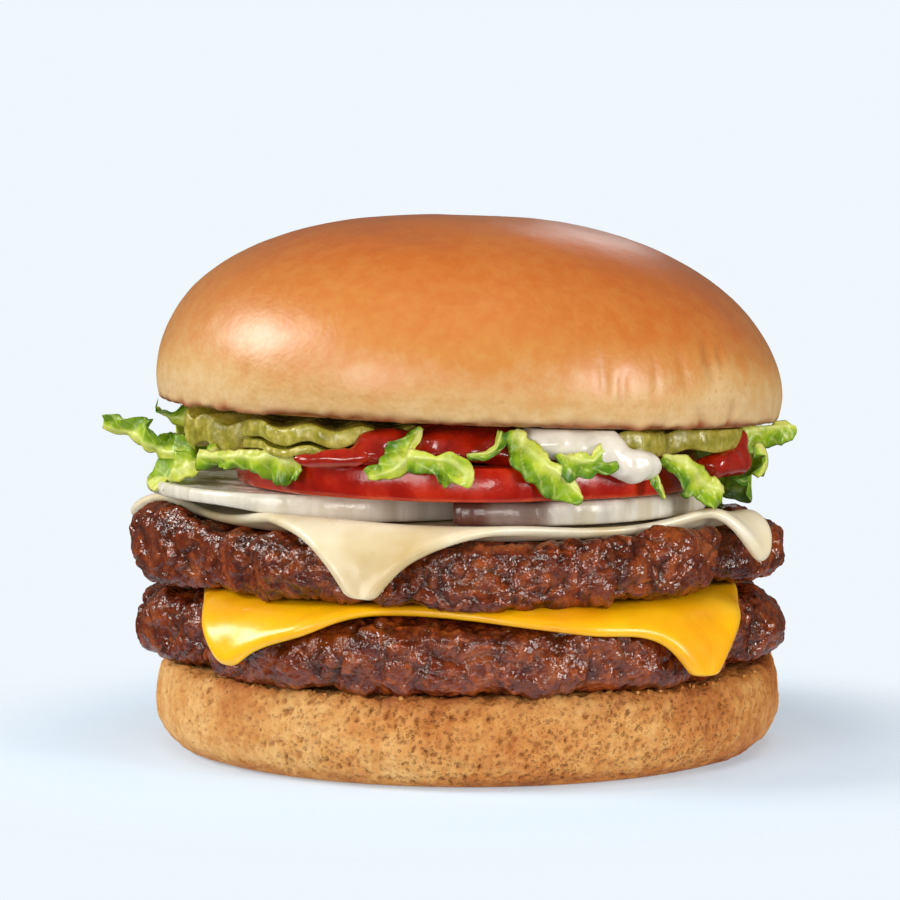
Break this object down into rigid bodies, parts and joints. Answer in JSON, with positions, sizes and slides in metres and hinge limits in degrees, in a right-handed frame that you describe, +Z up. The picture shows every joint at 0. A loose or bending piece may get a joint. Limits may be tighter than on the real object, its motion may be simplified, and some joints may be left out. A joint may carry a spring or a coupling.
{
  "type": "double cheeseburger",
  "caption": "Double cheeseburger in a round soft bun: beef patties, melted orange and white cheese, onion, tomato, lettuce, pickles and sauces.",
  "frame": {"origin": "centre of the heel's flat base, on the surface it stands on", "axes": "+Z up through the stack, -Y towards the dressed front with the hanging cheese corners, +X to the right seen from the front"},
  "size_m": [0.1147, 0.1076, 0.0878],
  "materials": {
    "bun_crust": "baked golden crust with a satin sheen, pale lower down",
    "bun_crumb": "toasted, finely pored bread",
    "patty": "grilled ground beef, craggy, glistening with fat",
    "cheese_orange": "melted processed cheese, glossy",
    "cheese_white": "melted white cheese, soft gloss",
    "onion": "raw white onion, wet and translucent",
    "tomato": "raw tomato, wet",
    "pickle": "pickled cucumber, wet",
    "lettuce": "leaf lettuce, soft sheen",
    "ketchup": "tomato ketchup, glossy",
    "mayonnaise": "mayonnaise, glossy"
  },
  "bodies": {
    "root": {"bun_crown": "bun_crust", "bun_heel": "bun_crumb", "cheese_orange": "cheese_orange", "cheese_white": "cheese_white", "ketchup_front": "ketchup", "ketchup_right": "ketchup", "ketchup_strip": "ketchup", "lettuce_back": "lettuce", "lettuce_back_left": "lettuce", "lettuce_back_right": "lettuce", "lettuce_front": "lettuce", "lettuce_front_bit": "lettuce", "lettuce_front_curl": "lettuce", "lettuce_front_inner": "lettuce", "lettuce_front_left": "lettuce", "lettuce_front_rib": "lettuce", "lettuce_front_right": "lettuce", "lettuce_front_shred": "lettuce", "lettuce_left": "lettuce", "lettuce_left_curl": "lettuce", "lettuce_left_top": "lettuce", "lettuce_right": "lettuce", "lettuce_right_tail": "lettuce", "mayonnaise": "mayonnaise", "onion_ring": "onion", "onion_slice": "onion", "patty_lower": "patty", "patty_upper": "patty", "pickle_back": "pickle", "pickle_front_left": "pickle", "pickle_front_right": "pickle", "pickle_left": "pickle", "pickle_right": "pickle", "pickle_under": "pickle", "tomato_slice": "tomato"}
  },
  "joints": []
}
